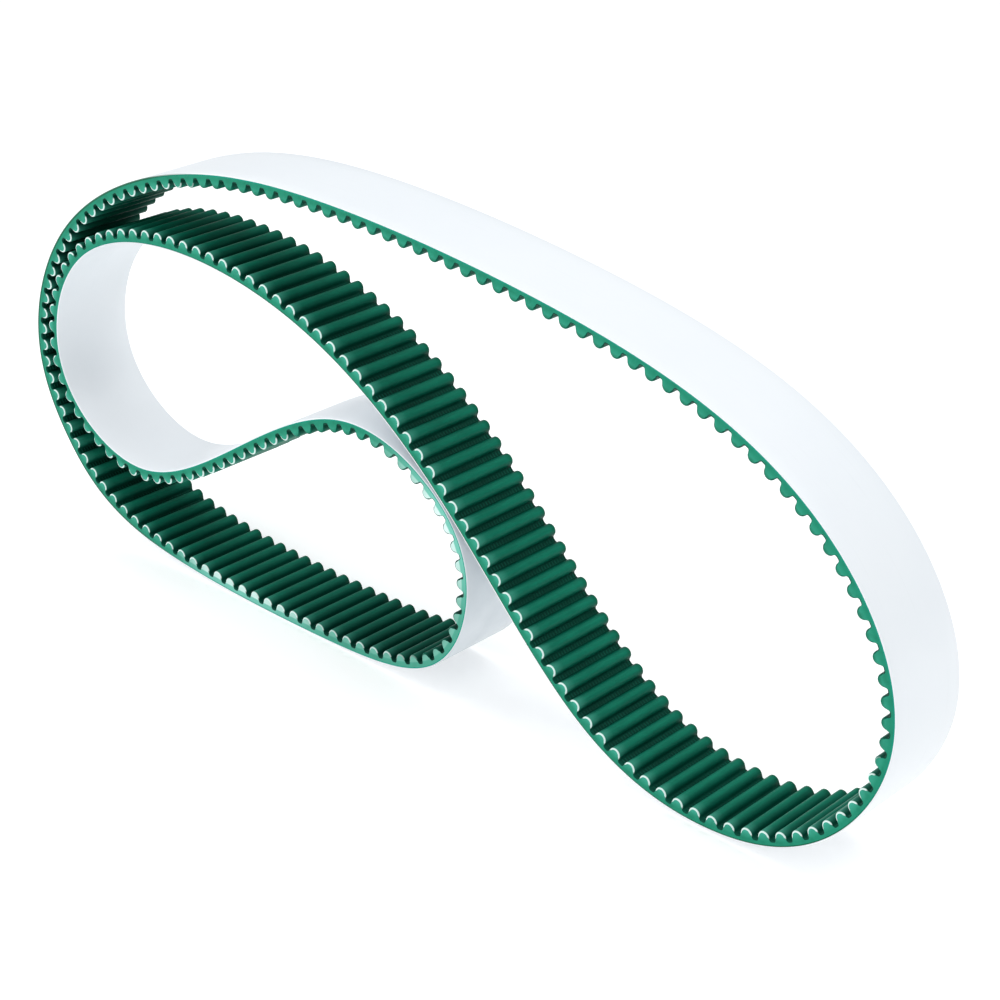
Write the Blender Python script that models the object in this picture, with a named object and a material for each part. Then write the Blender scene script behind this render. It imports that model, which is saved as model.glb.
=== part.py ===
"""Endless toothed timing belt, curled and standing on its white back.

The belt is one bonded band: a polyurethane body whose round teeth face into the loop, parallel steel
tension cords wound round inside it, a polyurethane layer that closes the body over the cords, and a
thin white cover on the back. The loop lies in the XZ plane and the belt's width runs along Y.
"""

import math

import bmesh
import bpy
import numpy as np

MM = 0.001

# Round-tooth profile of 8 mm pitch
PITCH = 8 * MM
TEETH = 220
TOOTH_HEIGHT = 3.38 * MM
TIP_RADIUS = 2.57 * MM
ROOT_RADIUS = 0.8 * MM
TOOTH_PHASE = 3.8 * MM
TIP_ANGLES = (160, 125, 90, 55, 20)

# Band, from the land between two teeth out to the back
WIDTH = 38 * MM
CORD_ABOVE_LAND = 0.69 * MM
LAND_TO_BACK = 2.22 * MM
COVER_THICKNESS = 0.5 * MM
LAYER_GAP = 0.1 * MM
RIM_WIDTH = 1.1 * MM

# Tension cords, each a three-sided solid
CORD_COUNT = 24
CORD_SPACING = 1.5 * MM
CORD_RADIUS = 0.4 * MM
CORD_ANGLES = (30, 150, 270)

# Run of the cord line in the XZ plane, in millimetres: the control points of a closed cubic B-spline.
# It goes up the left end, along the top, round the right lobe, back under the top run, round the inner
# lobe, over the hump, round the small lobe and along the floor.
PATH_MM = (
    (-234, 81),
    (-209, 142),
    (-144, 179),
    (-65, 193),
    (68, 182),
    (162, 161),
    (215, 118),
    (233, 64),
    (204, 14),
    (156, -2),
    (92, 10),
    (23, 93),
    (-48, 141),
    (-133, 155),
    (-197, 138),
    (-221, 94),
    (-212, 54),
    (-160, 28),
    (-99, 67),
    (-33, 113),
    (23, 88),
    (38, 53),
    (20, 5),
    (-46, 1),
    (-175, 3),
    (-213, 38),
)
SAMPLES_PER_SPAN = 200
STATIONS = 68
STRAIGHT_SHARE = 0.02

BACK_DEPTH = CORD_ABOVE_LAND - LAND_TO_BACK
CORD_TOP = CORD_RADIUS
CORD_UNDERSIDE = CORD_RADIUS * math.sin(math.radians(30))
CHANNEL_DEPTH = CORD_UNDERSIDE + LAYER_GAP
LAYER_DEPTH = -CORD_TOP - LAYER_GAP
COVER_INNER_DEPTH = BACK_DEPTH - LAYER_GAP
COVER_OUTER_DEPTH = COVER_INNER_DEPTH - COVER_THICKNESS
CUTTER_EXTRA = 0.5 * MM
WELD_DISTANCE = 1e-6
SHARP_ANGLE = 50


def clear_scene():
    """Remove everything the file opened with."""
    for thing in list(bpy.data.objects):
        bpy.data.objects.remove(thing)


def new_collection(name):
    """A collection linked to the scene."""
    collection = bpy.data.collections.new(name)
    bpy.context.scene.collection.children.link(collection)
    return collection


def make_material(name, color, roughness, metallic):
    """A Principled material."""
    material = bpy.data.materials.new(name)
    material.use_nodes = True
    shader = material.node_tree.nodes["Principled BSDF"]
    shader.inputs["Base Color"].default_value = (*color, 1)
    shader.inputs["Roughness"].default_value = roughness
    shader.inputs["Metallic"].default_value = metallic
    material.diffuse_color = (*color, 1)
    return material


def spline_points(control, per_span):
    """Points along the closed uniform cubic B-spline of these control points."""
    t = np.linspace(0, 1, per_span, endpoint=False)[:, None]
    spans = []
    for i in range(len(control)):
        a, b, c, d = (control[(i + k) % len(control)] for k in (-1, 0, 1, 2))
        start = (1 - t) ** 3 * a + (3 * t**3 - 6 * t**2 + 4) * b
        end = (-3 * t**3 + 3 * t**2 + 3 * t + 1) * c + t**3 * d
        spans.append((start + end) / 6)
    return np.concatenate(spans)


def step_lengths(points):
    """Distance from each point of a closed line to the next."""
    return np.linalg.norm(np.roll(points, -1, axis=0) - points, axis=1)


class CordLine:
    """The belt's neutral line, cut into straight chords between stations.

    A place on the belt is a distance along this line and a depth from it towards the teeth. Every layer
    uses the same stations, so the layers stay parallel. Stations are closer where the line bends more.
    """

    def __init__(self):
        points = spline_points(np.array(PATH_MM, float) * MM, SAMPLES_PER_SPAN)
        points *= TEETH * PITCH / step_lengths(points).sum()
        along = np.append(0, np.cumsum(step_lengths(points)))
        tangents = np.roll(points, -1, axis=0) - np.roll(points, 1, axis=0)
        headings = np.unwrap(np.arctan2(tangents[:, 1], tangents[:, 0]))
        curvature = np.gradient(headings) / step_lengths(points)
        tooth_side = np.stack([np.sin(headings), -np.cos(headings)], axis=1)

        share = np.sqrt(np.abs(curvature))
        share += STRAIGHT_SHARE * share.max()
        used = np.append(0, np.cumsum(share * step_lengths(points)))
        picks = np.searchsorted(used, np.linspace(0, used[-1], STATIONS, endpoint=False))
        self.along = along[picks]
        self.length = along[-1]
        spans = np.diff(self.along, append=self.length)
        nearby = (spans + np.roll(spans, 1)) / 2
        bulge = curvature[picks] * nearby**2 / 16
        self.points = points[picks] + bulge[:, None] * tooth_side[picks]
        self.tooth_side = tooth_side[picks]
        self.move_to_floor()

    def move_to_floor(self):
        """Stand the cover's lowest point on Z = 0, with X = 0 half way along the belt."""
        cover = self.ring(COVER_OUTER_DEPTH)
        middle = (cover[:, 0].min() + cover[:, 0].max()) / 2
        self.points -= np.array([middle, cover[:, 1].min()])

    def ring(self, depth):
        """The closed outline at one depth, with a point at each station."""
        return self.points + depth * self.tooth_side

    def place(self, along, depth):
        """The point at a distance along the line and a depth towards the teeth."""
        ring = self.ring(depth)
        stops = np.append(self.along, self.length)
        x = np.interp(along % self.length, stops, np.append(ring[:, 0], ring[0, 0]))
        z = np.interp(along % self.length, stops, np.append(ring[:, 1], ring[0, 1]))
        return x, z


def tooth_profile():
    """One tooth as (distance from its middle, height above the land): root fillets and a round tip."""
    tip_centre = TOOTH_HEIGHT - TIP_RADIUS
    reach = TIP_RADIUS + ROOT_RADIUS
    root_at = math.sqrt(reach**2 - (ROOT_RADIUS - tip_centre) ** 2)
    points = [(-root_at, 0)]
    for degrees in TIP_ANGLES:
        angle = math.radians(degrees)
        points.append((TIP_RADIUS * math.cos(angle), tip_centre + TIP_RADIUS * math.sin(angle)))
    points.append((root_at, 0))
    return points


def toothed_outline(line):
    """The tooth side of the belt, all the way round."""
    outline = []
    for tooth in range(TEETH):
        middle = TOOTH_PHASE + tooth * PITCH
        for across, height in tooth_profile():
            outline.append(line.place(middle + across, CORD_ABOVE_LAND + height))
    return outline


def add_outline(curve, outline):
    """Add one closed outline to a curve."""
    spline = curve.splines.new("POLY")
    spline.points.add(len(outline) - 1)
    for point, (x, z) in zip(spline.points, outline):
        point.co = (x, z, 0, 1)
    spline.use_cyclic_u = True


def make_band(name, outer, inner, width, collection, frame):
    """A closed band between two outlines, extruded to both sides of the belt's middle."""
    curve = bpy.data.curves.new(name, "CURVE")
    curve.dimensions = "2D"
    curve.fill_mode = "BOTH"
    curve.extrude = width / 2
    add_outline(curve, outer)
    add_outline(curve, inner)
    band = bpy.data.objects.new(name, curve)
    band.parent = frame
    collection.objects.link(band)
    return band


def to_mesh_object(source):
    """Replace a curve object with a welded mesh object of the same name and place."""
    name = source.name
    parent = source.parent
    collection = source.users_collection[0]
    bpy.context.view_layer.update()
    graph = bpy.context.evaluated_depsgraph_get()
    mesh = bpy.data.meshes.new_from_object(source.evaluated_get(graph))
    shape = bmesh.new()
    shape.from_mesh(mesh)
    bmesh.ops.remove_doubles(shape, verts=shape.verts, dist=WELD_DISTANCE)
    bmesh.ops.recalc_face_normals(shape, faces=shape.faces)
    shape.to_mesh(mesh)
    shape.free()
    mesh.shade_smooth()
    mesh.set_sharp_from_angle(angle=math.radians(SHARP_ANGLE))
    bpy.data.objects.remove(source)
    result = bpy.data.objects.new(name, mesh)
    result.parent = parent
    collection.objects.link(result)
    return result


def make_toothed_body(line, parts, cutters, frame):
    """Teeth, lands and both edge rims, with a channel in the back for the cords."""
    band = make_band("toothed_body", line.ring(BACK_DEPTH), toothed_outline(line), WIDTH, parts, frame)
    body = to_mesh_object(band)
    above = line.ring(BACK_DEPTH - CUTTER_EXTRA)
    below = line.ring(CHANNEL_DEPTH)
    channel = to_mesh_object(
        make_band("cord_channel", above, below, WIDTH - 2 * RIM_WIDTH, cutters, frame)
    )
    channel.hide_render = True
    channel.display_type = "WIRE"
    cut = body.modifiers.new("cord_channel", "BOOLEAN")
    cut.operation = "DIFFERENCE"
    cut.solver = "EXACT"
    cut.object = channel
    body.data.materials.append(make_material("green_polyurethane", (0.02, 0.3, 0.19), 0.35, 0))


def make_back_layer(line, parts, frame):
    """Polyurethane that closes the channel over the cords, level with the rims."""
    width = WIDTH - 2 * RIM_WIDTH - 2 * LAYER_GAP
    layer = make_band("back_layer", line.ring(BACK_DEPTH), line.ring(LAYER_DEPTH), width, parts, frame)
    layer.data.materials.append(make_material("green_backing", (0.02, 0.26, 0.17), 0.45, 0))


def make_white_cover(line, parts, frame):
    """Thin wear cover bonded over the whole back."""
    outer = line.ring(COVER_OUTER_DEPTH)
    inner = line.ring(COVER_INNER_DEPTH)
    cover = make_band("white_cover", outer, inner, WIDTH, parts, frame)
    cover.data.materials.append(make_material("white_cover", (0.88, 0.9, 0.91), 0.4, 0))


def make_cord_section(cutters):
    """Three-cornered outline that the cords are swept with."""
    curve = bpy.data.curves.new("cord_section", "CURVE")
    corners = []
    for degrees in CORD_ANGLES:
        angle = math.radians(degrees)
        corners.append((CORD_RADIUS * math.sin(angle), CORD_RADIUS * math.cos(angle)))
    add_outline(curve, corners)
    section = bpy.data.objects.new("cord_section", curve)
    section.hide_render = True
    section.display_type = "WIRE"
    cutters.objects.link(section)
    return section


def make_cord_curve(name, line, section, material):
    """The closed run of one cord."""
    curve = bpy.data.curves.new(name, "CURVE")
    curve.dimensions = "3D"
    curve.twist_mode = "Z_UP"
    curve.bevel_mode = "OBJECT"
    curve.bevel_object = section
    add_outline(curve, line.ring(0))
    curve.materials.append(material)
    return curve


def make_cords(line, parts, cutters, frame):
    """Parallel steel cords side by side across the width, of S and Z lay in turn."""
    section = make_cord_section(cutters)
    lays = (
        make_cord_curve("s_lay_cord", line, section, make_material("s_lay_steel", (0.5, 0.5, 0.5), 0.4, 1)),
        make_cord_curve("z_lay_cord", line, section, make_material("z_lay_steel", (0.46, 0.47, 0.48), 0.4, 1)),
    )
    first = -CORD_SPACING * (CORD_COUNT - 1) / 2
    for number in range(CORD_COUNT):
        cord = bpy.data.objects.new(f"tension_cord_{number + 1:02d}", lays[number % len(lays)])
        cord.parent = frame
        cord.location.z = first + number * CORD_SPACING
        parts.objects.link(cord)


def main():
    clear_scene()
    parts = new_collection("timing_belt")
    cutters = new_collection("cutters")
    frame = bpy.data.objects.new("belt_frame", None)
    frame.rotation_euler.x = math.radians(90)
    parts.objects.link(frame)
    line = CordLine()
    make_toothed_body(line, parts, cutters, frame)
    make_back_layer(line, parts, frame)
    make_white_cover(line, parts, frame)
    make_cords(line, parts, cutters, frame)


main()
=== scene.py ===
"""Looks of the curled timing belt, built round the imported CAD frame."""

import math

import bpy
import numpy as np
from mathutils import Matrix, Vector

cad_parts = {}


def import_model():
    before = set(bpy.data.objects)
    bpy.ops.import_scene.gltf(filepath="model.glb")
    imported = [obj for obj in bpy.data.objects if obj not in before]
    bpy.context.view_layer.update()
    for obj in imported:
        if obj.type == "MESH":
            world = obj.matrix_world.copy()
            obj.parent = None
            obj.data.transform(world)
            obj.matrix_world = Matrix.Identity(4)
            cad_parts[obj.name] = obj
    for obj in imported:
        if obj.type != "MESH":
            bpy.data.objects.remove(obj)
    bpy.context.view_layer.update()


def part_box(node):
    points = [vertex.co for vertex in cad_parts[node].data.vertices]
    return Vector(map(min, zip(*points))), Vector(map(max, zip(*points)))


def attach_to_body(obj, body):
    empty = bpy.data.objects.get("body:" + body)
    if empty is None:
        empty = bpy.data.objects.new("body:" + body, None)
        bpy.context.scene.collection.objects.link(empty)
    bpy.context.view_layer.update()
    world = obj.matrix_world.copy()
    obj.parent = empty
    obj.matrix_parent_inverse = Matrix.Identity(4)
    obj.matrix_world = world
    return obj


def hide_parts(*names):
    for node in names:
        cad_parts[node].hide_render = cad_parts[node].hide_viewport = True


MM = 0.001
CENTIMETRE = 10 * MM

# Round-tooth profile of 8 mm pitch
PITCH = 8 * MM
TEETH = 220
TOOTH_HEIGHT = 3.38 * MM
TIP_RADIUS = 2.57 * MM
ROOT_RADIUS = 0.8 * MM
TOOTH_PHASE = 3.8 * MM

# Band, as depths from the cord line towards the teeth
LAND_DEPTH = 0.69 * MM
BACK_DEPTH = -1.53 * MM
CORD_RADIUS = 0.4 * MM
LAYER_GAP = 0.1 * MM
COVER_THICKNESS = 0.5 * MM
RIM_WIDTH = 1.1 * MM
CORD_COUNT = 24
CORD_SPACING = 1.5 * MM
CHANNEL_DEPTH = CORD_RADIUS / 2 + LAYER_GAP
LAYER_DEPTH = -CORD_RADIUS - LAYER_GAP
COVER_INNER_DEPTH = BACK_DEPTH - LAYER_GAP
COVER_OUTER_DEPTH = COVER_INNER_DEPTH - COVER_THICKNESS
RIM_GAP = 0.01 * MM
RIM_BACK_DEPTH = COVER_INNER_DEPTH + RIM_GAP

# Run of the cord line in the XZ plane, in millimetres: the control points of a closed cubic B-spline
PATH_MM = (
    (-234, 81),
    (-209, 142),
    (-144, 179),
    (-65, 193),
    (68, 182),
    (162, 161),
    (215, 118),
    (233, 64),
    (204, 14),
    (156, -2),
    (92, 10),
    (23, 93),
    (-48, 141),
    (-133, 155),
    (-197, 138),
    (-221, 94),
    (-212, 54),
    (-160, 28),
    (-99, 67),
    (-33, 113),
    (23, 88),
    (38, 53),
    (20, 5),
    (-46, 1),
    (-175, 3),
    (-213, 38),
)
SAMPLES_PER_SPAN = 200

# Fine surface: tooth outline, tooth ends and dips of the lands
TIP_SEGMENTS = 12
TIP_START = 165  # degrees, where a tooth's tip arc begins
ROOT_SEGMENTS = 3
BEVEL = 0.64 * MM
BEVEL_SEGMENTS = 5
BEVEL_FROM = 0.2 * MM  # heights between which a tooth's end gets its full rounding
BEVEL_FULL = 1.6 * MM
HIGHLIGHT_GROWTH = 4  # a tooth's end carries the full painted highlight once a quarter of the rounding is done
LAND_DIP = 0.75 * MM
ROWS_IN = (1.6 * MM, 3 * MM, 5 * MM, 8 * MM, 13 * MM, 20 * MM, 28 * MM, 35 * MM)
NEAR_END = 6 * MM  # reach of the paler tooth ends on the near side, painted light
FAR_END = 1.2 * MM  # reach of the darker tooth ends on the far side, painted shade
SHARP_ANGLE = 40  # degrees

# Fine surface: ribs, cover and cords
RIB_LENGTH = 1.7 * MM
RIB_WIDTH = 0.6 * MM
RIB_HEIGHT = 0.14 * MM
RIB_SECTION = ((-1, -0.3), (-0.5, 1), (0.5, 1), (1, -0.3))  # (half widths aside, rib heights up)
BAND_STEP = 2 * MM
COVER_ROUNDING = 0.15 * MM
COVER_ROUND_ANGLES = (0, 30, 60, 90)
COVER_SPANS = 6
CORD_ROUND_RADIUS = 0.7 * CORD_RADIUS
CORD_SHIFT = -0.1 * MM
CORD_STEP = 4 * MM
CORD_SIDES = 8

# Painted highlights, painted shade and dark marks along the loop: (distance along the cord line in metres,
# share)
# Where along the loop the painted highlight lies on the tooth ends and the cut edge
HIGHLIGHT_ALONG = (
    (0, 0.75), (0.135, 0.75), (0.175, 0), (0.55, 0), (0.585, 1), (1.1, 1), (1.295, 0.9), (1.31, 0.05),
    (1.47, 0.05), (1.5, 0.5), (1.76, 0.7),
)
# Stretches where the cut edge turns near white: a painted highlight
EDGE_GLARE_ALONG = (
    (0, 0), (1.35, 0), (1.37, 0.4), (1.39, 0.9), (1.4, 1), (1.42, 0.8), (1.44, 0.36), (1.53, 0.28),
    (1.56, 0.7), (1.58, 0.9), (1.61, 0.85), (1.635, 0.05), (1.76, 0),
)
# Stretches of teeth darkened as painted shade
PAINTED_SHADE_ALONG = (
    (0, 0.25), (0.02, 0.4), (0.12, 0.4), (0.17, 0), (1.36, 0), (1.43, 0.6), (1.52, 0.55), (1.6, 0.15),
    (1.76, 0),
)
DARK_LINE_ALONG = (
    (0, 1), (0.13, 1), (0.17, 0), (0.55, 0), (0.6, 1), (0.95, 1), (1.05, 0.3), (1.12, 0), (1.62, 0),
    (1.65, 1), (1.76, 1),
)
# Stretches where the cover's outer edges are coloured dark green
DARK_RIM_ALONG = ((0, 1), (0.13, 1), (0.16, 0), (1.62, 0), (1.66, 1), (1.76, 1))
# Painted shade on the cover in the pocket and the neck of the curl
PAINTED_COVER_SHADE_ALONG = (
    (0, 0.05), (0.95, 0.05), (1, 0.5), (1.05, 0.5), (1.1, 0.1), (1.16, 0), (1.34, 0), (1.4, 1), (1.46, 0.8),
    (1.5, 0.1), (1.76, 0.05),
)

# Colours of the green polyurethane, moulded and cut
# Lands and roots darker, tips brighter: painted shade in the recesses between the teeth
SHADED_LAND_GREEN = (0.001, 0.06, 0.037)
ROOT_GREEN = (0.001, 0.08, 0.05)
FLANK_GREEN = (0.004, 0.13, 0.081)
TIP_GREEN = (0.007, 0.19, 0.116)
RIB_GREEN = (0.004, 0.13, 0.085)
# Paler near tooth ends: painted light
NEAR_LIT_GREEN = (0.12, 0.5, 0.38)
NEAR_SHARE = 0.38
# Pale crescents on the rounded near tooth ends: a painted highlight
HIGHLIGHT_CRESCENT_GREEN = (0.76, 0.93, 0.88)
# Darker far tooth ends: painted shade
FAR_END_SHADE = (0.4, 0.7, 0.6)
# Colour that darkens the teeth in those stretches: painted shade
PAINTED_SHADE_TINT = (0.35, 0.25, 0.28)
EDGE_BAND = (0.014, 0.26, 0.157)
EDGE_TOOTH = (0.028, 0.31, 0.2)
# Brighter tooth ends on the cut edge where light falls: painted light
LIT_EDGE_TIP = (0.06, 0.43, 0.32)
EDGE_DARK = (0.004, 0.12, 0.06)
# Bright teal line along the cover: a painted highlight
EDGE_HIGHLIGHT_TEAL = (0.002, 0.31, 0.225)
# Colours of the painted highlight on the cut edge
GLARE_GREEN = (0.8, 0.98, 0.94)
GLARE_TEAL = (0.3, 0.78, 0.66)
GREEN_SPECULAR = 0.08
HIGHLIGHT_CRESCENT_ROUGHNESS = 0.2
SPECULAR_TINT = (0.6, 1.0, 0.85, 1)

# Colours of the cover, cords and floor
COVER_WHITE = (0.866, 0.892, 0.912)
COVER_SHADE = (0.835, 0.868, 0.895)
COVER_SCUFF = (0.6, 0.62, 0.64)
# Grey of the painted shade on the cover
PAINTED_COVER_SHADE_GREY = (0.44, 0.5, 0.54)
SCUFF_ROUGHNESS = 1.5
S_LAY_STEEL = (0.55, 0.55, 0.54)
Z_LAY_STEEL = (0.5, 0.51, 0.52)
# Share of the steel colour left in the gaps between wires: painted shade
STEEL_GAP_SHADE_SHARE = 0.35
STRAND_TURNS = 6
STRAND_WIRES = 3
FLOOR_SHADE = (0.93, 0.93, 0.93)
FLOOR_WHITE = (0.94, 0.94, 0.94)

# Heights on the cut edge, from 0 at the back to 1 at the tooth tips
BACK_HEIGHT = (BACK_DEPTH - LAND_DEPTH) / TOOTH_HEIGHT
LINE_EDGE = (0.04, 0.08)
TOOTH_FOOT = (0.4, 0.5)

# Values that a noise texture keeps between, nearly everywhere
NOISE_RANGE = (0.3, 0.7)

# Studio
FLOOR_SIZE = 8
FLOOR_GLOW = 0.26
WORLD_COLOR = (0.95, 0.99, 1.03, 1)
WORLD_STRENGTH = 0.44
LIGHT_AIM = (0, 0, 0.08)
LIGHTS = (  # (name, place, size, watts)
    ("key", (0.7, 0.4, 2.1), 1.4, 23),
    ("left", (-1.0, -0.5, 2.1), 1.4, 11),
    ("front", (-0.9, -1.2, 0.7), 1.5, 10),
    ("right", (1.7, -0.5, 1.0), 1.4, 3),
)

# Camera: angles in degrees, distances in metres, lens in millimetres
CAMERA_AZIMUTH = 42.36
CAMERA_ELEVATION = 26.24
CAMERA_ROLL = 0.78
CAMERA_DISTANCE = 0.8535
CAMERA_TARGET = (0.0512, -0.019, 0.0979)
CAMERA_LENS = 83.2
CAMERA_SENSOR = 36


def spline_points(control, per_span):
    """Points along the closed uniform cubic B-spline of these control points."""
    t = np.linspace(0, 1, per_span, endpoint=False)[:, None]
    spans = []
    for i in range(len(control)):
        a, b, c, d = (control[(i + k) % len(control)] for k in (-1, 0, 1, 2))
        start = (1 - t) ** 3 * a + (3 * t**3 - 6 * t**2 + 4) * b
        end = (-3 * t**3 + 3 * t**2 + 3 * t + 1) * c + t**3 * d
        spans.append((start + end) / 6)
    return np.concatenate(spans)


def step_lengths(points):
    """Distance from each point of a closed line to the next."""
    return np.linalg.norm(np.roll(points, -1, axis=0) - points, axis=1)


class CordLine:
    """The belt's neutral line: a place on the belt is a distance along it and a depth towards the teeth."""

    def __init__(self, low, high):
        points = spline_points(np.array(PATH_MM, float) * MM, SAMPLES_PER_SPAN)
        points *= TEETH * PITCH / step_lengths(points).sum()
        self.along = np.append(0, np.cumsum(step_lengths(points)))
        self.length = self.along[-1]
        tangents = np.roll(points, -1, axis=0) - np.roll(points, 1, axis=0)
        tangents /= np.linalg.norm(tangents, axis=1)[:, None]
        tooth_side = np.stack([tangents[:, 1], -tangents[:, 0]], axis=1)
        cover = points + COVER_OUTER_DEPTH * tooth_side
        middle = (cover.min(axis=0) + cover.max(axis=0)) / 2
        points -= middle - np.array([low.x + high.x, low.z + high.z]) / 2
        self.points = np.concatenate([points, points[:1]])
        self.tooth_side = np.concatenate([tooth_side, tooth_side[:1]])

    def place(self, along, depth):
        """Points (x, z) at distances along the line and depths towards the teeth."""
        along = np.asarray(along) % self.length
        x, z, side_x, side_z = (
            np.interp(along, self.along, column)
            for column in (*self.points.T, *self.tooth_side.T)
        )
        return np.stack([x + depth * side_x, z + depth * side_z], axis=-1)


def share_along(along, table):
    """Share at distances along the cord line, from a table of (distance, share)."""
    return np.interp(along, *zip(*table))


def smooth_step(value, low, high):
    """0 below low, 1 above high, and smooth between them."""
    share = np.clip((value - low) / (high - low), 0, 1)
    return share * share * (3 - 2 * share)


def rounding(height):
    """How far a tooth's end draws in at this height."""
    return BEVEL * smooth_step(height, BEVEL_FROM, BEVEL_FULL)


def tooth_profile():
    """One pitch of the tooth side: (distance from the tooth's middle, height, shift across, shift up).

    The two shifts are those of the belt's very edge, where teeth are rounded over and lands dip.
    """
    tip_centre = TOOTH_HEIGHT - TIP_RADIUS
    root_centre = TIP_RADIUS + ROOT_RADIUS
    left = []
    for angle in np.radians(np.linspace(0, 90, ROOT_SEGMENTS + 1)):
        across = -root_centre + ROOT_RADIUS * math.sin(angle)
        height = ROOT_RADIUS * (1 - math.cos(angle))
        drop = -LAND_DIP * math.sqrt(max(0, math.cos(angle)))
        left.append((across, height, rounding(height), drop))
    tip = []
    for angle in np.radians(np.linspace(TIP_START, 180 - TIP_START, TIP_SEGMENTS + 1)):
        out_across, out_up = math.cos(angle), math.sin(angle)
        height = tip_centre + TIP_RADIUS * out_up
        shift = -rounding(height)
        tip.append((TIP_RADIUS * out_across, height, shift * out_across, shift * out_up))
    right = [(-across, height, -shift, drop) for across, height, shift, drop in reversed(left)]
    return left + tip + right + [(PITCH / 2, 0, 0, -LAND_DIP)]


def make_object(name, mesh, *materials):
    """A smooth-shaded object in the scene."""
    mesh.shade_smooth()
    mesh.set_sharp_from_angle(angle=math.radians(SHARP_ANGLE))
    for material in materials:
        mesh.materials.append(material)
    thing = bpy.data.objects.new(name, mesh)
    bpy.context.scene.collection.objects.link(thing)
    return thing


def ring_mesh(name, grid):
    """A closed band from a grid of points, with columns round the loop and rows round its section."""
    columns, rows = grid.shape[:2]
    index = np.arange(columns * rows).reshape(columns, rows)
    after = np.roll(index, -1, axis=0)
    faces = np.stack([index, np.roll(index, -1, axis=1), np.roll(after, -1, axis=1), after], axis=-1)
    mesh = bpy.data.meshes.new(name)
    mesh.from_pydata(grid.reshape(-1, 3).tolist(), [], faces.reshape(-1, 4).tolist())
    return mesh


def add_values(mesh, name, values):
    """Store one number a point for the materials to read."""
    layer = mesh.attributes.new(name, "FLOAT", "POINT")
    layer.data.foreach_set("value", np.asarray(values, np.float32).ravel())


def add_uv(mesh, grid_uv):
    """Unroll the band: U is the distance round the loop and V the place across it, in centimetres."""
    loops = np.empty(len(mesh.loops), np.int32)
    mesh.loops.foreach_get("vertex_index", loops)
    layer = mesh.uv_layers.new(name="unrolled")
    layer.uv.foreach_set("vector", grid_uv.reshape(-1, 2)[loops].astype(np.float32).ravel())


def edge_rows():
    """Rows over one rounded edge of the belt: (distance in from the cut edge, share of the rounding)."""
    rows = []
    for angle in np.radians(np.linspace(90, 0, BEVEL_SEGMENTS + 1)):
        rows.append((BEVEL * (1 - math.sin(angle)), 1 - math.cos(angle)))
    return rows


def tooth_side_rows(middles, half):
    """Rows over the teeth, near edge to far edge: (y, distances along, depths, shares of the painted
    highlight).
    """
    across, height, shift_across, shift_up = np.array(tooth_profile()).T
    base = middles[:, None] + across
    share = np.tile(smooth_step(height, BEVEL_FROM, BEVEL_FULL), TEETH)
    highlight = np.tile(height > 0, TEETH) * share_along(base.ravel(), HIGHLIGHT_ALONG)
    near = [(-half + y, part) for y, part in edge_rows()]
    middle = [(-half + y, 0) for y in ROWS_IN]
    far = [(half - y, part) for y, part in reversed(edge_rows())]
    rows = []
    for y, part in near + middle + far:
        along = base + part * shift_across
        depth = LAND_DEPTH + height + part * shift_up
        # Share of the painted highlight on the rounded near tooth ends
        chamfer_highlight = share * min(1, HIGHLIGHT_GROWTH * part) * highlight * (y < 0)
        rows.append((y, along.ravel(), np.tile(depth, TEETH), chamfer_highlight))
    return rows


def channel_rows(base, half):
    """Rows over the far cut edge, round the cords' channel and over the near cut edge."""
    channel = half - RIM_WIDTH
    edge_middle = (BACK_DEPTH + LAND_DEPTH) / 2
    section = (
        (half, edge_middle),
        (half, RIM_BACK_DEPTH),
        (channel, RIM_BACK_DEPTH),
        (channel, CHANNEL_DEPTH),
        (-channel, CHANNEL_DEPTH),
        (-channel, RIM_BACK_DEPTH),
        (-half, RIM_BACK_DEPTH),
        (-half, edge_middle),
    )
    still = np.zeros(len(base))
    return [(y, base, still + depth, still) for y, depth in section]


def make_toothed_body(line, width, materials):
    """Teeth, lands, rims and the cords' channel, with each tooth's ends rounded over."""
    half = width / 2
    middles = TOOTH_PHASE + PITCH * np.arange(TEETH)
    base = (middles[:, None] + np.array(tooth_profile())[:, 0]).ravel()
    rows = tooth_side_rows(middles, half) + channel_rows(base, half)
    highlight = share_along(base, HIGHLIGHT_ALONG)

    size = (len(base), len(rows))
    grid = np.empty((*size, 3))
    unrolled = np.empty((*size, 2))
    values = {name: np.empty(size) for name in ("chamfer_highlight", "tooth_height", "near_end", "far_end")}
    for number, (y, along, depth, chamfer_highlight) in enumerate(rows):
        points = line.place(along, depth)
        aside = np.full(len(base), y)
        grid[:, number] = np.stack([points[:, 0], aside, points[:, 1]], axis=1)
        unrolled[:, number] = np.stack([along, aside], axis=1) / CENTIMETRE
        values["chamfer_highlight"][:, number] = chamfer_highlight
        values["tooth_height"][:, number] = (depth - LAND_DEPTH) / TOOTH_HEIGHT
        # Paler near tooth ends where the painted highlight falls: painted light
        values["near_end"][:, number] = highlight * (1 - smooth_step(y, -half, -half + NEAR_END))
        values["far_end"][:, number] = smooth_step(y, half - FAR_END, half - FAR_END / 2)
    for name, table in (
        ("lit_edge", HIGHLIGHT_ALONG),
        ("edge_glare", EDGE_GLARE_ALONG),
        ("painted_shade", PAINTED_SHADE_ALONG),
        ("dark_line", DARK_LINE_ALONG),
    ):
        values[name] = np.repeat(share_along(base, table), len(rows))

    mesh = ring_mesh("toothed_body_fine", grid)
    for name, numbers in values.items():
        add_values(mesh, name, numbers)
    add_uv(mesh, unrolled)
    on_edge = np.isclose(np.abs([y for y, _, _, _ in rows]), half)
    cut_strips = on_edge & np.roll(on_edge, -1)
    mesh.polygons.foreach_set("material_index", np.tile(cut_strips, len(base)).astype(np.int32))
    return make_object("toothed_body_fine", mesh, *materials)


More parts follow.
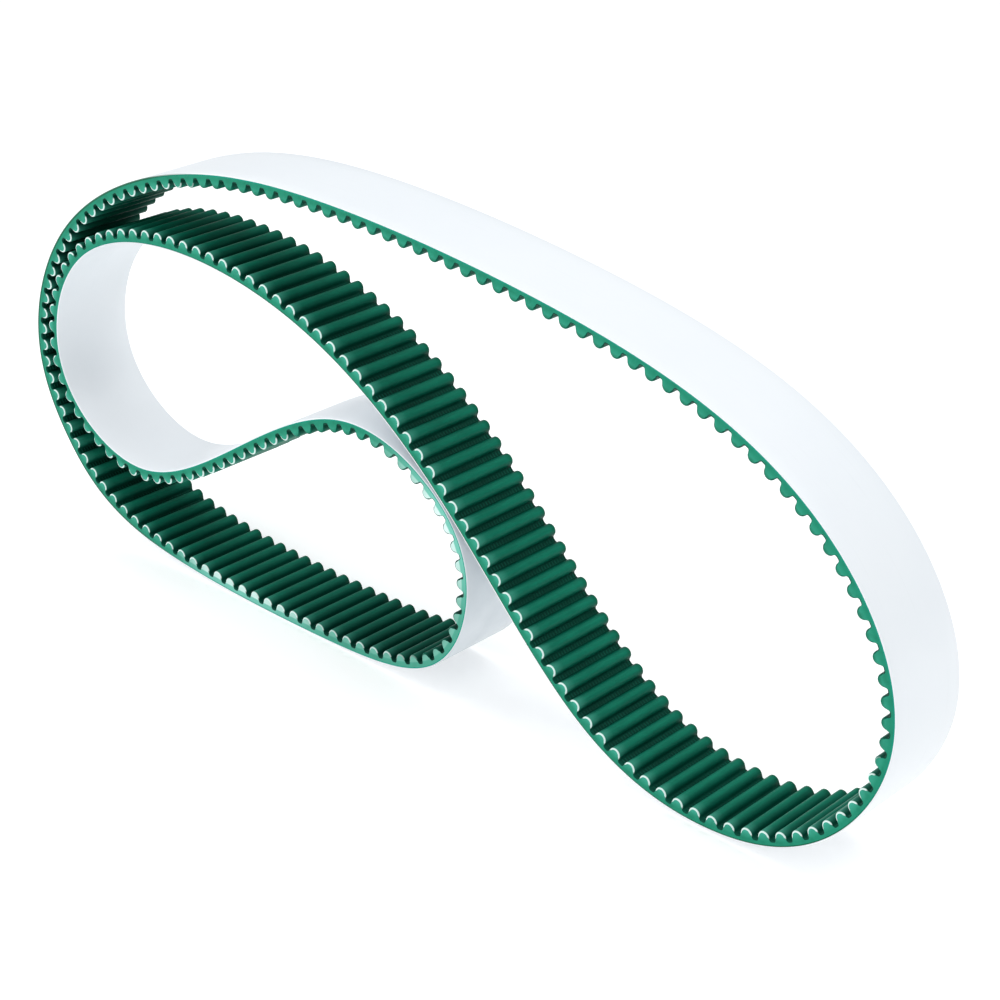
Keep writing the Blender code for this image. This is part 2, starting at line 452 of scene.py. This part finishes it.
def make_land_ribs(line, material):
    """Low ribs on each land, one over each cord, which the mould's winding bars leave."""
    points = []
    faces = []
    for tooth in range(TEETH):
        middle = TOOTH_PHASE + (tooth + 0.5) * PITCH
        for cord in range(CORD_COUNT):
            y = (cord - (CORD_COUNT - 1) / 2) * CORD_SPACING
            start = len(points)
            for end in (-RIB_LENGTH / 2, RIB_LENGTH / 2):
                for side, lift in RIB_SECTION:
                    x, z = line.place(middle + end, LAND_DEPTH + lift * RIB_HEIGHT)
                    points.append((x, y + side * RIB_WIDTH / 2, z))
            a, b, c, d, e, f, g, h = range(start, start + 8)
            faces += [(a, e, f, b), (b, f, g, c), (c, g, h, d), (d, h, e, a), (a, b, c, d), (h, g, f, e)]
    mesh = bpy.data.meshes.new("land_ribs")
    mesh.from_pydata(points, [], faces)
    add_values(mesh, "tooth_height", np.zeros(len(points)))
    return make_object("land_ribs", mesh, material)


def band_grid(line, step, section):
    """Points of a plain band, and the same unrolled in centimetres.

    There is one column each step along it, and one row for each (y, depth) of the section.
    """
    along = np.arange(0, line.length, line.length / round(line.length / step))
    grid = np.empty((len(along), len(section), 3))
    unrolled = np.empty((len(along), len(section), 2))
    for number, (y, depth) in enumerate(section):
        points = line.place(along, depth)
        aside = np.full(len(along), y)
        grid[:, number] = np.stack([points[:, 0], aside, points[:, 1]], axis=1)
        unrolled[:, number] = np.stack([along, aside], axis=1) / CENTIMETRE
    return grid, unrolled


def make_white_cover(line, width, material):
    """Thin cover over the whole back, with its two outer edges rounded."""
    half = width / 2
    corner = [(half, COVER_INNER_DEPTH)]
    for angle in np.radians(COVER_ROUND_ANGLES):
        y = half - COVER_ROUNDING * (1 - math.cos(angle))
        corner.append((y, COVER_OUTER_DEPTH + COVER_ROUNDING * (1 - math.sin(angle))))
    back = [(y, COVER_OUTER_DEPTH) for y in np.linspace(half, -half, COVER_SPANS + 1)[1:-1]]
    other_corner = [(-y, depth) for y, depth in reversed(corner)]
    grid, unrolled = band_grid(line, BAND_STEP, corner + back + other_corner)
    mesh = ring_mesh("white_cover_fine", grid)
    add_uv(mesh, unrolled)
    along = unrolled[:, :, 0] * CENTIMETRE
    on_edge = np.isclose(np.abs(grid[:, :, 1]), half)
    add_values(mesh, "painted_cover_shade", share_along(along, PAINTED_COVER_SHADE_ALONG))
    add_values(mesh, "dark_rim", on_edge * share_along(along, DARK_RIM_ALONG))
    return make_object("white_cover_fine", mesh, material)


def make_back_layer(line, width, material):
    """Polyurethane between the cords and the cover."""
    half = width / 2 - RIM_WIDTH - LAYER_GAP
    section = [(half, LAYER_DEPTH), (half, BACK_DEPTH), (-half, BACK_DEPTH), (-half, LAYER_DEPTH)]
    grid, unrolled = band_grid(line, BAND_STEP, section)
    mesh = ring_mesh("back_layer_fine", grid)
    add_uv(mesh, unrolled)
    return make_object("back_layer_fine", mesh, material)


def make_cord(line, number, material):
    """One round tension cord, unrolled with one unit of V round it."""
    middle = ((CORD_COUNT - 1) / 2 - number) * CORD_SPACING
    section = []
    for side in range(CORD_SIDES):
        angle = -math.tau * side / CORD_SIDES
        y = middle + CORD_ROUND_RADIUS * math.sin(angle)
        section.append((y, CORD_SHIFT + CORD_ROUND_RADIUS * math.cos(angle)))
    grid, unrolled = band_grid(line, CORD_STEP, section)
    unrolled[:, :, 1] = np.arange(CORD_SIDES) / CORD_SIDES
    name = f"tension_cord_{number + 1:02d}_round"
    mesh = ring_mesh(name, grid)
    add_uv(mesh, unrolled)
    return make_object(name, mesh, material)


class Material:
    """A node material built up from a Principled shader."""

    def __init__(self, name):
        self.material = bpy.data.materials.new(name)
        self.material.use_nodes = True
        self.nodes = self.material.node_tree.nodes
        self.links = self.material.node_tree.links
        self.shader = self.nodes["Principled BSDF"]

    def node(self, kind, inputs=None, **settings):
        """A node: inputs are values or the outputs that feed them."""
        made = self.nodes.new(kind)
        for key, value in settings.items():
            setattr(made, key, value)
        for key, value in (inputs or {}).items():
            if isinstance(value, bpy.types.NodeSocket):
                self.links.new(value, made.inputs[key])
            else:
                made.inputs[key].default_value = value
        return made

    def attribute(self, name):
        """The number stored a point under this name."""
        return self.node("ShaderNodeAttribute", attribute_name=name).outputs["Fac"]

    def noise(self, scale, detail=3, vector=None):
        """Cloudy values about 0.5, in object space or on the vector given."""
        vector = vector or self.node("ShaderNodeTexCoord").outputs["Object"]
        inputs = {"Vector": vector, "Scale": scale, "Detail": detail}
        return self.node("ShaderNodeTexNoise", inputs).outputs["Fac"]

    def unrolled(self, stretch_along=1, stretch_across=1):
        """Place on the unrolled belt, in centimetres, times the two stretches."""
        uv = self.node("ShaderNodeTexCoord").outputs["UV"]
        scale = (stretch_along, stretch_across, 1)
        return self.node("ShaderNodeMapping", {"Vector": uv, "Scale": scale}).outputs["Vector"]

    def spread(self, value, source, target):
        """The value moved from its place in the source range to the same place in the target range."""
        inputs = {"Value": value, "From Min": source[0], "From Max": source[1]}
        inputs |= {"To Min": target[0], "To Max": target[1]}
        return self.node("ShaderNodeMapRange", inputs).outputs["Result"]

    def ramp(self, value, *stops):
        """Colours from a value: each stop is (position, colour)."""
        ramp = self.node("ShaderNodeValToRGB", {"Fac": value})
        elements = ramp.color_ramp.elements
        while len(elements) < len(stops):
            elements.new(0.5)
        for element, (position, color) in zip(elements, stops):
            element.position = position
            element.color = (*color, 1)
        return ramp.outputs["Color"]

    def mix(self, factor, first, second, blend="MIX"):
        """The second colour laid over the first, as far as the factor says."""
        made = self.node("ShaderNodeMix", data_type="RGBA", blend_type=blend)
        sockets = (made.inputs[0], made.inputs[6], made.inputs[7])
        for socket, value in zip(sockets, (factor, first, second)):
            if isinstance(value, bpy.types.NodeSocket):
                self.links.new(value, socket)
            else:
                socket.default_value = (*value, 1) if isinstance(value, tuple) else value
        return made.outputs[2]

    def add(self, first, second):
        """Sum of two numbers."""
        return self.node("ShaderNodeMath", {0: first, 1: second}, operation="ADD").outputs[0]

    def times(self, first, second):
        """Product of two numbers."""
        return self.node("ShaderNodeMath", {0: first, 1: second}, operation="MULTIPLY").outputs[0]

    def finish(self, color, roughness, height=None, strength=0.2, distance=0.1 * MM):
        """Wire colour, roughness and bump, and return the material."""
        self.links.new(color, self.shader.inputs["Base Color"])
        self.links.new(roughness, self.shader.inputs["Roughness"])
        if height:
            inputs = {"Height": height, "Strength": strength, "Distance": distance}
            bump = self.node("ShaderNodeBump", inputs)
            self.links.new(bump.outputs["Normal"], self.shader.inputs["Normal"])
        return self.material


def moulded_green():
    """Moulded polyurethane, darker in the lands as painted shade, brighter on the tips, and pale on the
    tooth ends as a painted highlight.
    """
    made = Material("moulded_green")
    height = made.attribute("tooth_height")
    cloud = made.noise(scale=60, detail=4)
    streak = made.noise(scale=1, detail=4, vector=made.unrolled(stretch_along=12, stretch_across=1.2))
    unevenness = made.spread(cloud, NOISE_RANGE, (-0.08, 0.08))
    mottle = made.add(unevenness, made.spread(streak, NOISE_RANGE, (0.9, 1.1)))
    grey = {"Red": mottle, "Green": mottle, "Blue": mottle}
    shade = made.node("ShaderNodeCombineColor", grey).outputs[0]
    # Ramp by tooth height: painted shade in the lands and roots
    green = made.ramp(height, (0, SHADED_LAND_GREEN), (0.3, ROOT_GREEN), (0.75, FLANK_GREEN), (1, TIP_GREEN))
    green = made.mix(1.0, green, shade, "MULTIPLY")
    # Painted shade on stretches of the teeth
    green = made.mix(made.attribute("painted_shade"), green, PAINTED_SHADE_TINT, "MULTIPLY")
    # Paler near tooth ends: painted light
    near_share = made.times(made.attribute("near_end"), made.spread(height, (0.3, 1), (0, NEAR_SHARE)))
    green = made.mix(near_share, green, NEAR_LIT_GREEN)
    # Darker far tooth ends: painted shade
    green = made.mix(made.attribute("far_end"), green, FAR_END_SHADE, "MULTIPLY")
    # Pale crescents on the rounded tooth ends: painted highlight
    highlight = made.spread(made.add(made.attribute("chamfer_highlight"), unevenness), (0.2, 0.6), (0, 1))
    color = made.mix(highlight, green, HIGHLIGHT_CRESCENT_GREEN)
    satin = made.spread(cloud, NOISE_RANGE, (0.32, 0.46))
    roughness = made.add(satin, made.times(highlight, HIGHLIGHT_CRESCENT_ROUGHNESS))
    made.shader.inputs["Specular IOR Level"].default_value = GREEN_SPECULAR
    made.shader.inputs["Specular Tint"].default_value = SPECULAR_TINT
    return made.finish(color, roughness, made.add(made.noise(scale=1500), streak), strength=0.15)


def cut_edge():
    """Belt edge where it was cut to width, with fine knife lines along the belt."""
    made = Material("cut_edge")
    height = made.spread(made.attribute("tooth_height"), (BACK_HEIGHT, 1), (0, 1))
    fine = made.noise(scale=1800, detail=2)
    lines = made.noise(scale=1, vector=made.unrolled(stretch_along=2, stretch_across=40))
    cloud = made.noise(scale=300)
    # Tooth ends of the cut edge dark where shaded and bright where lit: painted shade and painted light
    plain = made.ramp(height, (0.3, EDGE_BAND), (0.65, EDGE_TOOTH), (1, EDGE_DARK))
    highlight = made.ramp(height, (0.3, EDGE_BAND), (0.5, EDGE_TOOTH), (1, LIT_EDGE_TIP))
    face = made.mix(made.attribute("lit_edge"), plain, highlight)
    face = made.mix(made.spread(cloud, (0.45, 0.75), (0, 0.35)), face, EDGE_DARK)
    # Painted highlight that turns the cut edge near white
    pale_share = made.attribute("edge_glare")
    tooth_pale = made.mix(pale_share, GLARE_TEAL, GLARE_GREEN)
    pale = made.mix(made.spread(height, TOOTH_FOOT, (0, 1)), GLARE_TEAL, tooth_pale)
    face = made.mix(made.times(pale_share, made.spread(height, TOOTH_FOOT, (0.65, 0.95))), face, pale)
    # Line along the cover: dark, or a bright teal painted highlight
    line = made.mix(made.attribute("dark_line"), EDGE_HIGHLIGHT_TEAL, EDGE_DARK)
    color = made.mix(made.spread(height, LINE_EDGE, (0, 1)), line, face)
    roughness = made.spread(fine, NOISE_RANGE, (0.42, 0.6))
    made.shader.inputs["Specular IOR Level"].default_value = GREEN_SPECULAR
    return made.finish(color, roughness, made.add(fine, lines))


def land_rib_green():
    """Ribs of the lands, a little brighter than the land."""
    made = Material("land_rib_green")
    cloud = made.noise(scale=80)
    # The land colour carries the painted shade of the lands
    color = made.ramp(cloud, (NOISE_RANGE[0], SHADED_LAND_GREEN), (NOISE_RANGE[1], RIB_GREEN))
    roughness = made.spread(cloud, NOISE_RANGE, (0.3, 0.45))
    made.shader.inputs["Specular IOR Level"].default_value = GREEN_SPECULAR
    return made.finish(color, roughness, made.noise(scale=1500, detail=2), strength=0.1)


def backing_green():
    """Cast polyurethane round the cords."""
    made = Material("backing_green")
    cloud = made.noise(scale=60, detail=4)
    color = made.ramp(cloud, (NOISE_RANGE[0], ROOT_GREEN), (NOISE_RANGE[1], FLANK_GREEN))
    roughness = made.spread(cloud, NOISE_RANGE, (0.4, 0.55))
    return made.finish(color, roughness, made.noise(scale=1200), strength=0.15)


def cover_white():
    """Smooth white cover with a faint calendered grain, light scuffs along the belt and patches of painted
    shade.
    """
    made = Material("cover_white")
    cloud = made.noise(scale=14, detail=4)
    grain = made.noise(scale=2200, detail=2)
    scuffs = made.noise(scale=1, detail=5, vector=made.unrolled(stretch_along=0.25, stretch_across=9))
    marks = made.spread(scuffs, (0.62, 0.8), (0, 0.12))
    shade_mottle = made.spread(made.noise(scale=40, detail=4), (0.35, 0.65), (0.45, 0.7))
    color = made.ramp(cloud, (NOISE_RANGE[0], COVER_SHADE), (NOISE_RANGE[1], COVER_WHITE))
    color = made.mix(marks, color, COVER_SCUFF)
    # Painted shade on the cover, broken up by a mottle
    color = made.mix(made.times(made.attribute("painted_cover_shade"), shade_mottle), color, PAINTED_COVER_SHADE_GREY)
    # Cover's outer edges coloured dark green in some stretches
    color = made.mix(made.attribute("dark_rim"), color, EDGE_DARK)
    satin = made.spread(grain, NOISE_RANGE, (0.34, 0.44))
    roughness = made.add(satin, made.times(marks, SCUFF_ROUGHNESS))
    return made.finish(color, roughness, made.add(grain, scuffs), strength=0.06)


def cord_steel(name, lay, color):
    """Zinc-plated strand: the wires' twist is a slanted wave over the unrolled cord."""
    made = Material(name)
    twist = made.unrolled(STRAND_TURNS, lay * STRAND_WIRES)
    inputs = {"Vector": twist, "Scale": 1.0, "Distortion": 0.2}
    wires = made.node("ShaderNodeTexWave", inputs, bands_direction="DIAGONAL").outputs["Fac"]
    # Darker gaps between the wires: painted shade
    tint = made.ramp(wires, (0, tuple(STEEL_GAP_SHADE_SHARE * part for part in color)), (0.6, color))
    roughness = made.spread(made.noise(scale=400), NOISE_RANGE, (0.28, 0.45))
    made.shader.inputs["Metallic"].default_value = 1
    return made.finish(tint, roughness, wires, strength=0.5)


def floor_white():
    """Plain pale studio floor that glows faintly, as a light table does, so shadows stay soft."""
    made = Material("floor_white")
    cloud = made.noise(scale=1.5, detail=2)
    color = made.ramp(cloud, (NOISE_RANGE[0], FLOOR_SHADE), (NOISE_RANGE[1], FLOOR_WHITE))
    made.shader.inputs["Emission Color"].default_value = (1, 1, 1, 1)
    made.shader.inputs["Emission Strength"].default_value = FLOOR_GLOW
    return made.finish(color, made.spread(made.noise(scale=3, detail=2), NOISE_RANGE, (0.85, 0.9)))


def make_floor():
    """Studio floor under the belt."""
    bpy.ops.mesh.primitive_plane_add(size=FLOOR_SIZE)
    floor = bpy.context.object
    floor.name = "studio_floor"
    floor.data.materials.append(floor_white())


def make_camera():
    """Camera at the photograph's viewing angle."""
    azimuth = math.radians(CAMERA_AZIMUTH)
    elevation = math.radians(CAMERA_ELEVATION)
    roll = math.radians(CAMERA_ROLL)
    level = Vector((math.cos(azimuth), math.sin(azimuth), 0))
    ahead = Vector((-math.sin(azimuth), math.cos(azimuth), 0))
    forward = ahead * math.cos(elevation) - Vector((0, 0, math.sin(elevation)))
    upright = level.cross(forward)
    right = level * math.cos(roll) + upright * math.sin(roll)
    up = upright * math.cos(roll) - level * math.sin(roll)
    data = bpy.data.cameras.new("camera")
    data.lens = CAMERA_LENS
    data.sensor_width = CAMERA_SENSOR
    camera = bpy.data.objects.new("camera", data)
    turn = Matrix((right, up, -forward)).transposed().to_4x4()
    camera.matrix_world = Matrix.Translation(Vector(CAMERA_TARGET) - forward * CAMERA_DISTANCE) @ turn
    bpy.context.scene.collection.objects.link(camera)
    bpy.context.scene.camera = camera


def make_light(name, place, size, watts):
    """A soft square light that faces the belt."""
    data = bpy.data.lights.new(name, "AREA")
    data.size = size
    data.energy = watts
    light = bpy.data.objects.new(name, data)
    light.location = place
    light.rotation_euler = (Vector(LIGHT_AIM) - Vector(place)).to_track_quat("-Z", "Y").to_euler()
    bpy.context.scene.collection.objects.link(light)


def make_world():
    """Even pale surroundings, and a view transform that keeps white white."""
    world = bpy.data.worlds.new("studio")
    world.use_nodes = True
    background = world.node_tree.nodes["Background"]
    background.inputs["Color"].default_value = WORLD_COLOR
    background.inputs["Strength"].default_value = WORLD_STRENGTH
    bpy.context.scene.world = world
    bpy.context.scene.view_settings.view_transform = "Standard"


def attach(piece, slot, *nodes):
    """A fine piece: it rides on the belt and replaces its plain solids."""
    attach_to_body(piece, "root")
    if nodes:
        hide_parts(*nodes)


def main():
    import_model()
    low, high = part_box("white_cover")
    width = high.y - low.y
    line = CordLine(low, high)
    body = make_toothed_body(line, width, (moulded_green(), cut_edge()))
    attach(body, "green_polyurethane", "toothed_body")
    attach(make_land_ribs(line, land_rib_green()), "green_polyurethane")
    attach(make_back_layer(line, width, backing_green()), "green_backing", "back_layer")
    attach(make_white_cover(line, width, cover_white()), "white_cover", "white_cover")
    lays = (
        ("s_lay_steel", cord_steel("s_lay_strand", 1, S_LAY_STEEL)),
        ("z_lay_steel", cord_steel("z_lay_strand", -1, Z_LAY_STEEL)),
    )
    for number in range(CORD_COUNT):
        slot, steel = lays[number % len(lays)]
        attach(make_cord(line, number, steel), slot, f"tension_cord_{number + 1:02d}")
    make_floor()
    make_world()
    for light in LIGHTS:
        make_light(*light)
    make_camera()


main()
